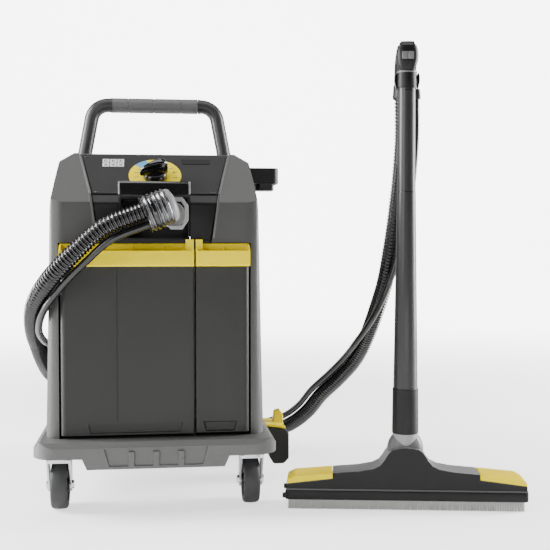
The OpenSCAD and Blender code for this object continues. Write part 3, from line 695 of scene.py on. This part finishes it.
def makeWheels(v):
    r, h = v["radius"], v["half"]
    tyre = mirrored([(34, -h + 5), (36, -h + 1), (40, -h), (r - 5, -h), (r - 2.2, -h + 1.8),
                     (r - 0.7, -h + 6), (r, -2)])
    hub = mirrored([(6.05, -h - 2), (13, -h - 2), (15, -h + 3), (17, -h + 6), (30, -h + 6), (33.6, -h + 4),
                    (34.2, -h + 4)])
    for end, y in (("front", -1), ("rear", 1)):
        for side, x in (("left", -1), ("right", 1)):
            corner = end + "_" + side
            at = machineAt @ moved(x * v["across"], y * v["along"] + v["trail"], r) @ turned("Y", 90)
            standFor(lathe("tyre_" + corner, tyre, at, 72, True), "caster_wheel_" + corner, "tyre")
            addTo(lathe("hub_" + corner, hub, at, 56, True), "caster_wheel_" + corner, "hub")


makeWheels(wheelValues)
print("handle and wheels made")


# Sloping panel: dial with its marks, tiles with theirs, and the display
panelValues = {"dialY": 6, "dialRadius": 55, "dialTop": 1.5, "blueBand": (27, 54.4, 110, 141), "markRing": 41,
               "marks": ((14, 3), (-12, 2), (38, 1), (62, 2), (168, 2), (188, 1), (150, 1)), "tickRing": 28.5,
               "tickStep": 15, "tileX": -104, "tileY": 58, "tileWide": 13.92, "tileTall": 12.672,
               "tileGap": 1.6, "display": (60, 17, 1.5, 87, 56)}


def sectorOutline(inner, outer, start, end, y, steps=24):
    out = []
    for r, first, last in ((outer, start, end), (inner, end, start)):
        for i in range(steps + 1):
            a = math.radians(first + (last - first) * i / steps)
            out.append((r * math.cos(a), y + r * math.sin(a)))
    return out


def panelPrint(name, wide, tall, corner, x, y, low, high):
    return prism(name, roundedOutline(wide, tall, corner, x, y), low, high, slopeAt)


def ringSpot(radius, angle, y):
    return radius * math.cos(math.radians(angle)), y + radius * math.sin(math.radians(angle))


def makeDial(v):
    r, top = v["dialRadius"], v["dialTop"]
    profile = [(0.01, -0.5), (r - 0.4, -0.5), (r, -0.1), (r, top - 0.4), (r - 0.4, top), (0.01, top)]
    standFor(lathe("dial", profile, slopeAt @ moved(0, v["dialY"], 0), 96), "dial_plate", "dialYellow")
    blue = prism("dialBlue", sectorOutline(*v["blueBand"], v["dialY"]), top - 0.1, top + 0.15, slopeAt)
    addTo(blue, "dial_plate", "dialBlue")
    low, high = top - 0.1, top + 0.12
    marks = []
    for angle, bars in v["marks"]:
        x, y = ringSpot(v["markRing"], angle, v["dialY"])
        for k in range(bars):
            marks.append(panelPrint("mark", 6.5 - k, 1.1, 0.4, x, y + 2.2 * (k - 1), low, high))
        marks.append(panelPrint("mark", 1.3, 5, 0.5, x + 4.6, y, low, high))
    for angle in range(0, 360, v["tickStep"]):
        x, y = ringSpot(v["tickRing"], angle, v["dialY"])
        marks.append(panelPrint("tick", 1.1, 1.1, 0.5, x, y, low, high))
    addTo(joined("dialMarks", marks), "dial_plate", "inkDark")


def makeTiles(v):
    tiles, inks = [], []
    for column in range(3):
        for row in range(2):
            x = v["tileX"] + column * (v["tileWide"] + v["tileGap"])
            y = v["tileY"] - row * (v["tileTall"] + v["tileGap"])
            tiles.append(panelPrint("tile", v["tileWide"], v["tileTall"], 0.8, x, y, -0.6, -0.35))
            for k in range(3):
                wide = 8.4 - 2 * ((k + column) % 2)
                inks.append(panelPrint("ink", wide, 1.3, 0.5, x, y - 3 + 3 * k, -0.4, -0.25))
            inks.append(panelPrint("ink", 1.6, 6.5, 0.6, x - 3 + 3 * row + column, y, -0.4, -0.24))
    addTo(joined("pictogramTiles", tiles), "control_panel", "inkWhite")
    addTo(joined("pictogramInk", inks), "control_panel", "inkDark")


def makeDisplay(v):
    glass = prism("displayGlass", roundedOutline(*v["display"]), -0.4, 0.35, slopeAt, 0.0002)
    addTo(glass, "control_panel", "glassDark")


makeDial(panelValues)
makeTiles(panelValues)
makeDisplay(panelValues)


# Pale bevels beside the panel and the console, and pale strips on the hood's ends that are painted highlights
bevelValues = {"width": 5, "panelTop": (157.5, 81), "panelFoot": (129.5, -58), "panelBetween": (-1.5, 0.8),
               "frontTop": (129, 655), "frontFoot": (116.5, 566), "frontBetween": (268.5, 270.8),
               "hoodX": (-73.5, 67.1), "hoodWide": 3.4, "hoodY": (-304.5, -290), "hoodZ": (654, 680)}


def makeBevels(v):
    upright = machineAt @ turned("X", 90)
    for side, s in (("left", -1), ("right", 1)):
        strips = []
        for kind, at in (("panel", slopeAt), ("front", upright)):
            top, foot = v[kind + "Top"], v[kind + "Foot"]
            outline = [(s * top[0], top[1]), (s * (top[0] + v["width"]), top[1]),
                       (s * (foot[0] + v["width"]), foot[1]), (s * foot[0], foot[1])]
            strips.append(prism("bevel", outline, *v[kind + "Between"], at, 0.0007))
        addTo(joined("panelBevel_" + side, strips), "side_shell_" + side, "chassis")
    # pale strips on the hood's two ends: painted highlights on its chamfers
    (front, rear), (low, high) = v["hoodY"], v["hoodZ"]
    ends = [blockMesh("hoodEnd", (x, front, low), (x + v["hoodWide"], rear, high), machineAt, 0.0008)
            for x in v["hoodX"]]
    addTo(joined("hoodEnds", ends), "socket_flap", "lightGrey")


makeBevels(bevelValues)


# Screws: sunk in wells on the panel, on the rear cover, and on the handle's brackets
screwValues = {"panel": ((-146, 74), (146, 74), (-120, -50), (120, -50)), "sunk": -0.6, "wellWide": 12,
               "wellCorner": 5.9, "rearX": 158, "rearY": 270.5, "rearZ": (180, 430, 680), "bracketY": 310.5,
               "head": [(0.01, -1.2), (3.5, -1.2), (3.6, -0.4), (3.3, 0.3), (2.4, 0.8), (1.3, 0.95),
                        (1.25, 0.2), (0.01, 0.2)]}


def makeScrews(v):
    up = (slopeAt.to_3x3() @ Vector((0, 0, 1))).normalized()
    points, facings, wells = [], [], []
    for x, y in v["panel"]:
        points.append(slopeAt @ Vector((x * mm, y * mm, v["sunk"] * mm)))
        facings.append(up)
        wells.append(panelPrint("well", v["wellWide"], v["wellWide"], v["wellCorner"], x, y, v["sunk"],
                                v["sunk"] / 2))
    addTo(joined("screwWells", wells), "control_panel", "mattBlack")
    for reach, y, heights in ((v["rearX"], v["rearY"], v["rearZ"]),
                              (handleValues["legX"], v["bracketY"], handleValues["bracketZ"])):
        for x in (-reach, reach):
            for z in heights:
                points.append(machineAt @ Vector((x * mm, y * mm, z * mm)))
                facings.append((0, 1, 0))
    item = lathe("screwItem", v["head"], Matrix.Identity(4), 24)
    screws = scatter("screws", points, facings, item, paint["glossBlack"], seed=4)
    standFor(screws, "housing_screws", "glossBlack")
    dropItem(item)


makeScrews(screwValues)
print("panel made")


# Selector knob: a round foot with a wing, whose sections give place, low and top half width, and height
knobValues = {"turn": 200, "footRadius": 25, "wingFoot": 14, "sections": [
    (-27, 5, 3, 31), (-24.5, 10, 7.5, 37), (-16, 13, 9.5, 41), (-4, 12.5, 8, 42), (12, 10, 5.5, 39.5),
    (25, 7, 3.5, 33.5), (31.5, 4.2, 2, 27), (33.6, 1.6, 1, 23.5)]}


def makeKnob(v):
    at = slopeAt @ turned("Z", v["turn"])
    r, wingFoot = v["footRadius"], v["wingFoot"]
    profile = [(0.01, 2), (r - 0.6, 2), (r, 2.7), (r - 1, 13.4), (r - 2.6, 15.4), (r - 5, 16.2), (0.01, 16.2)]
    foot = lathe("knobFoot", profile, at, 72)
    rings = []
    for u, low, top, high in v["sections"]:
        half = [(low, wingFoot), ((low + top) / 2, (wingFoot + high) / 2 + 2), (top, high - 2.4),
                (top * 0.6, high)]
        rings.append([(u, -w, z) for w, z in half] + [(u, w, z) for w, z in reversed(half)])
    wing = loft("knobWing", rings, at, 0.0011)
    standFor(joined("knob", [foot, wing]), "selector_knob", "glossBlack")


makeKnob(knobValues)


# Plug: pale connector in the socket, and a ribbed cuff that takes both hoses
plugValues = {
    "x": 34, "z": 614, "cuffRadius": 37.5, "ribDepth": 3, "ribs": 5, "aside": 8, "cuffRun": (-3, 14, 30, 47),
    "collar": [(0.01, 230), (19.9, 230), (20, 262), (25.4, 262.4), (26, 263), (26, 300), (24.5, 303),
               (15, 304), (14, 318), (0.01, 318)],
    "flange": [(0.01, -1), (32.4, -1), (33, 0.6), (33, 5), (30, 10), (20, 14), (0.01, 14)],
    "rim": [(30, -3), (36.5, -3), (38, -1.5), (38, 2.5), (36.5, 4), (30, 4)]}


def makePlug(v):
    base = machineAt @ moved(v["x"], 0, v["z"]) @ turned("X", 90)
    collar = lathe("plugCollar", v["collar"], base, 64)
    start, following = Vector(hoseRoute[0]), Vector(hoseRoute[1])
    along = (start - following).normalized()
    side = Vector(steamSides[0])
    side = (side - side.dot(along) * along).normalized()
    mouth = start + v["aside"] * side
    path = [machineAt @ ((mouth + d * along) * mm) for d in v["cuffRun"]]
    pitch = pathLength(path) / (v["ribs"] + 0.5)
    radius, depth = v["cuffRadius"] * mm, v["ribDepth"] * mm
    cuff = lineTube("plugCuff", path, paint["cuffGloss"], radius, 56, 0.0007, depth, pitch)
    standFor(cuff, "hose_plug", "cuffGloss")
    addTo(collar, "hose_plug", "lightGrey")
    flangeAt = Matrix.Translation(path[-1]) @ facing((path[-1] - path[-3]).normalized())
    flange = lathe("plugFlange", v["flange"], flangeAt, 72)
    addTo(flange, "hose_plug", "lightGrey")
    rimAt = Matrix.Translation(path[1]) @ facing((path[2] - path[0]).normalized())
    rim = lathe("plugRim", v["rim"], rimAt, 72, True)
    addTo(rim, "hose_plug", "glossBlack")
    return [cuff, collar, flange, rim]


plugPieces = makePlug(plugValues)
print("knob and plug made")


# The wand's handle: a tube bent back and down with its collars, a boss, and a head
# The head's sections give height, half width, front and rear
wandHandleValues = {
    "back": 95, "top": 956, "foot": 878, "radius": 19.6, "bend": 42,
    "collars": ((0, 880.2, 0.3), (95, 870.2, 1)),
    "bossX": 27.5, "boss": [(0.01, 870.2), (10.6, 870.2), (11, 871), (9.4, 890), (7, 892), (0.01, 892)],
    "corner": 0.62, "around": 40, "head": [
        (915, 15.5, -20.5, 12), (921, 18.5, -22.5, 14), (934, 22.3, -24.4, 17), (946, 23, -25, 19),
        (957, 22.4, -24.4, 20), (961, 20.6, -22.6, 20), (964.5, 20.4, -22.2, 20), (967, 17.6, -19, 18),
        (972, 15.6, -16, 16), (974.5, 12.5, -12, 13)]}


def headRing(z, half, front, rear, v):
    ring = []
    for k in range(v["around"]):
        a = math.tau * k / v["around"]
        across = math.copysign(abs(math.cos(a)) ** v["corner"], math.cos(a))
        deep = math.copysign(abs(math.sin(a)) ** v["corner"], math.sin(a))
        ring.append((half * across, (front + rear) / 2 + (rear - front) / 2 * deep, z))
    return ring


def makeWandHandle(v):
    path = rounded([(0, 0, v["foot"]), (0, 0, v["top"]), (0, v["back"], v["top"]), (0, v["back"], v["foot"])],
                   [v["bend"], v["bend"]], 12)
    grip = [wandAt @ (p * mm) for p in path]
    pieces = [lineTube("grip", grip, paint["mattBlack"], v["radius"] * mm, 40, 0.003)]
    for y, low, proud in v["collars"]:
        profile = [(17, low), (20 + 2.6 * proud, low), (20 + 3 * proud, low + 1),
                   (20 + 1.4 * proud, low + 28), (20, low + 30), (17, low + 30)]
        pieces.append(lathe("gripCollar", profile, wandAt @ moved(0, y, 0), 56, True))
    pieces.append(lathe("steamBoss", v["boss"], wandAt @ moved(v["bossX"], v["back"], 0), 40))
    pieces.append(loft("head", [headRing(*section, v) for section in v["head"]], wandAt))
    standFor(joined("wandHandle", pieces), "wand_handle", "mattBlack")


makeWandHandle(wandHandleValues)


# On the head: two panes, a ridge of ribs on top, an arch round its foot, and an ear at each side
headValues = {"paneX": 6.3, "paneZ": 943.5, "paneWide": 11.6, "paneTall": 15.4, "ribs": 9, "ribStep": 20,
              "ridgeRadius": 12.6, "ridge": (970.5, 975.4), "earHalf": 6,
              "arch": [(18.9, 909), (20.6, 909.6), (21.2, 911.4), (20.6, 913.2), (18.9, 914)],
              "ear": [(19.5, 902), (23, 912), (26.4, 905), (26.8, 893), (24, 880), (21.5, 874), (21, 885)]}


def makeHeadTrim(v):
    upright = wandAt @ turned("X", 90)
    panes = []
    for s in (-1, 1):
        outline = roundedOutline(v["paneWide"], v["paneTall"], 1.6, s * v["paneX"], v["paneZ"])
        panes.append(prism("pane", outline, 24.6, 25.6, upright, 0.0004))
    addTo(joined("headPanes", panes), "wand_handle", "paneGrey")
    ridge = []
    for k in range(v["ribs"]):
        a = math.radians(v["ribStep"] * (k - (v["ribs"] - 1) / 2))
        outline = roundedOutline(3.4, 12, 1.2, v["ridgeRadius"] * math.sin(a), -2 + 1.5 * math.cos(a))
        ridge.append(prism("rib", outline, *v["ridge"], wandAt, 0.0009))
    addTo(joined("headRidge", ridge), "wand_handle", "gripGrey")
    addTo(lathe("headArch", v["arch"], wandAt, 64, True), "wand_handle", "headTop")
    ears = [prism("ear", [(s * x, z) for x, z in v["ear"]], -v["earHalf"], v["earHalf"], upright, 0.0012)
            for s in (-1, 1)]
    addTo(joined("headEars", ears), "wand_handle", "glossBlack")


makeHeadTrim(headValues)


# Seams round the tubes, and a boot over the cuff whose pale grey is a painted highlight on its dome top
seamValues = {"seams": ((19.4, 663), (25.6, 251.6), (18.6, 874)), "bootDeep": 0.72, "boot": [
    (20, 112), (37.5, 112), (38.5, 120), (37.5, 130), (34.5, 140), (30, 148), (26.4, 152.5), (20, 153)]}


def makeSeams(v):
    seams = []
    for r, z in v["seams"]:
        profile = [(r - 0.4, z - 0.5), (r + 0.35, z - 0.4), (r + 0.35, z + 0.4), (r - 0.4, z + 0.5)]
        seams.append(lathe("tubeSeam", profile, wandAt, 64, True))
    addTo(joined("tubeSeams", seams), "wand_lower_tube", "glossBlack")
    # the boot's pale finish is a painted highlight on the dome's top
    boot = lathe("cuffBoot", v["boot"], wandAt @ Matrix.Diagonal((1, v["bootDeep"], 1, 1)), 64, True)
    addTo(boot, "wand_cuff", "headTop")


makeSeams(seamValues)
print("wand made")


# Floor head: dark front, and upward faces painted paler grey as a painted highlight, over a gasket and the
# backs of the two brushes
floorHeadValues = {"paintedHighlightFrom": 0.22, "gasketX": 251, "gasketY": 33, "gasketHalf": 2.2, "gasketZ": (38, 43),
                   "backLong": 505, "backWide": 17, "backY": 30, "backZ": (20.2, 39), "tabX": (-258, -247),
                   "tabY": 38.6, "tabOut": 1.6, "tabIn": 3, "tabZ": (24, 35)}


def makeFloorHead(v):
    body = refined("nozzle_body", "headBlack", 0.0022, 3)
    # upward faces get the paler finish: a painted highlight on the black plastic
    body.data.materials.append(paint["headTop"])
    for face in body.data.polygons:
        if face.normal.z > v["paintedHighlightFrom"]:
            face.material_index = 1
    seat = [blockMesh("gasket", (-v["gasketX"], y - v["gasketHalf"], v["gasketZ"][0]),
                      (v["gasketX"], y + v["gasketHalf"], v["gasketZ"][1]), wandAt)
            for y in (-v["gasketY"], v["gasketY"])]
    addTo(joined("headGasket", seat), "nozzle_body", "glossBlack")
    strips = []
    for s in (-1, 1):
        outline = roundedOutline(v["backLong"], v["backWide"], 8, 0, s * v["backY"], 8)
        strips.append(prism("strip", outline, *v["backZ"], wandAt, 0.0014))
    for s in (-1, 1):
        front, rear = sorted((s * (v["tabY"] + v["tabOut"]), s * (v["tabY"] - v["tabIn"])))
        low, high = (v["tabX"][0], front, v["tabZ"][0]), (v["tabX"][1], rear, v["tabZ"][1])
        strips.append(blockMesh("stripTab", low, high, wandAt, 0.001))
    standFor(joined("brushBacks", strips), "brush_strips", "headBlack")


makeFloorHead(floorHeadValues)


# End catches: yellow caps with ribs that follow the caps' sloping top
capValues = {"first": 156, "last": 244, "step": 4.6, "ribHalf": 0.9, "ribReach": 31.5, "below": 1.2,
             "above": 1.1, "slope": ((153, 76), (233, 69), (248, 61))}


def capTop(x, slope):
    (x0, z0), (x1, z1) = slope[:2] if x < slope[1][0] else slope[1:]
    return z0 + (z1 - z0) * (x - x0) / (x1 - x0)


def makeCaps(v):
    for side, s in (("left", -1), ("right", 1)):
        refined("end_catch_" + side, "yellow", 0.0012, 3)
        ribs, x = [], v["first"]
        while x < v["last"]:
            top = capTop(x, v["slope"])
            ribs.append(blockMesh("rib", (s * x - v["ribHalf"], -v["ribReach"], top - v["below"]),
                                  (s * x + v["ribHalf"], v["ribReach"], top + v["above"]), wandAt, 0.0004))
            x += v["step"]
        addTo(joined("capRibs_" + side, ribs), "end_catch_" + side, "yellow")


makeCaps(capValues)


# Bristles: a tuft of leaning threads, set in rows under the brush backs
bristleValues = {"pitch": 5.1, "half": 244, "height": 20, "rows": (-34.5, -30.5, 30.5, 34.5), "rootZ": 20.2,
                 "threads": 11, "twist": 2.4, "spread": 0.55, "splay": 0.12, "rootRadius": 0.45,
                 "tipRadius": 0.36, "lean": 0.035, "seed": 11}


def makeTuft(v):
    bm = bmesh.new()
    for k in range(v["threads"]):
        a, r = k * v["twist"], v["spread"] * math.sqrt(k)
        x, y, splay = r * math.cos(a), r * math.sin(a), v["splay"] * r
        rings = []
        for t, radius in ((0, v["rootRadius"]), (1, v["tipRadius"])):
            rings.append([bm.verts.new((x * (1 + splay * t) + radius * math.cos(b),
                                        y * (1 + splay * t) + radius * math.sin(b), -v["height"] * t))
                          for b in [math.tau * i / 4 for i in range(4)]])
        for i in range(4):
            j = (i + 1) % 4
            bm.faces.new((rings[0][i], rings[0][j], rings[1][j], rings[1][i]))
    return linkMesh("tuftItem", bm, Matrix.Scale(mm, 4))


def makeBristles(v):
    item = makeTuft(v)
    points = []
    for row, y in enumerate(v["rows"]):
        x = -v["half"] + (row % 2) * v["pitch"] / 2
        while x < v["half"]:
            points.append(wandAt @ Vector((x * mm, y * mm, v["rootZ"] * mm)))
            x += v["pitch"]
    facings = [(0, 0, 1)] * len(points)
    tufts = scatter("bristles", points, facings, item, paint["bristle"], v["lean"], v["seed"])
    dropItem(item)
    addTo(tufts, "brush_strips", "bristle")


makeBristles(bristleValues)
print("floor head made")


# Room: a pale floor that curves up, a world, and soft panels of light
# Floor and world are brighter to the camera than as light on the machine
roomValues = {
    "floor": 0.9, "rough": 0.7, "seenGlow": 6, "litGlow": 0.3, "fadeFrom": 0.9, "fadeTo": 4.5, "near": 0.17,
    "around": 0.07, "behind": 6, "nearEdge": -7, "bendAt": 3.5, "bend": 2, "wallTop": 7, "halfWidth": 9,
    "lamps": {  # power, size, place, aim
        "lightLeft": (190, (0.8, 2.2), (-2.4, 0.1, 1.2), (-0.2, -0.1, 0.5)),
        "lightRight": (200, (0.8, 2.2), (2.6, 0.1, 1.2), (0.1, -0.1, 0.5)),
        "lightTop": (40, (2.6, 1.8), (0.0, -0.2, 3.0), (0.0, 0.0, 0.3)),
        "lightFront": (34, (0.9, 1.8), (-2.1, -2.2, 1.3), (-0.1, 0.0, 0.5)),
        "lightLow": (9, (1.8, 0.3), (0.0, -2.7, 0.2), (-0.1, 0.0, 0.15))}}


def paleMaterial(v):
    material = bpy.data.materials.new("floorPale")
    material.use_nodes = True
    tree = material.node_tree
    shader = setInputs(tree.nodes["Principled BSDF"], {
        "Base Color": (v["floor"], v["floor"], v["floor"], 1), "Roughness": v["rough"],
        "Emission Color": (1, 1, 1, 1)})
    where = tree.nodes.new("ShaderNodeTexCoord")
    away = tree.nodes.new("ShaderNodeVectorMath")
    away.operation = "LENGTH"
    fade = addNode(tree, "ShaderNodeMapRange", {"From Min": v["fadeFrom"], "From Max": v["fadeTo"],
                                                "To Min": v["near"], "To Max": 1.0})
    fade.interpolation_type = "SMOOTHSTEP"
    tree.links.new(where.outputs["Object"], away.inputs[0])
    tree.links.new(away.outputs["Value"], fade.inputs["Value"])
    seen = tree.nodes.new("ShaderNodeLightPath").outputs["Is Camera Ray"]
    faded = mathNode(tree, "MULTIPLY", seen, fade.outputs["Result"])
    shown = mathNode(tree, "MULTIPLY", faded, v["seenGlow"])
    tree.links.new(mathNode(tree, "ADD", shown, v["litGlow"]), shader.inputs["Emission Strength"])
    return material


def makeFloor(v):
    bm = bmesh.new()
    bendAt, bend = v["bendAt"], v["bend"]
    profile = [(v["nearEdge"], 0), (bendAt, 0)]
    for k in range(1, 10):
        a = math.radians(10 * k)
        profile.append((bendAt + bend * math.sin(a), bend - bend * math.cos(a)))
    profile.append((bendAt + bend, v["wallTop"]))
    rows = [[bm.verts.new((x, y, z)) for x in (-v["halfWidth"], v["halfWidth"])] for y, z in profile]
    for a, b in zip(rows, rows[1:]):
        bm.faces.new((a[0], a[1], b[1], b[0]))
    floor = linkMesh("floor", bm)
    floor.data.materials.append(paleMaterial(v))


def makeWorld(v):
    world = bpy.data.worlds.new("room")
    world.use_nodes = True
    tree = world.node_tree
    background = setInputs(tree.nodes["Background"], {"Color": (1, 1, 1, 1)})
    seen = tree.nodes.new("ShaderNodeLightPath").outputs["Is Camera Ray"]
    extra = mathNode(tree, "MULTIPLY", seen, v["behind"] - v["around"])
    tree.links.new(mathNode(tree, "ADD", extra, v["around"]), background.inputs["Strength"])
    scene.world = world


def makeLamps(v):
    for name, (power, size, at, aim) in v["lamps"].items():
        data = bpy.data.lights.new(name, "AREA")
        data.shape = "RECTANGLE"
        data.size, data.size_y = size
        data.energy = power
        lamp = linkPiece(name, data)
        lamp.matrix_world = Matrix.Translation(at) @ facing(Vector(aim) - Vector(at), "-Z")


makeFloor(roomValues)
makeWorld(roomValues)
makeLamps(roomValues)
print("room made")

for piece in nodes.values():
    if not piece.data.materials:
        piece.data.materials.append(paint["chassis"])
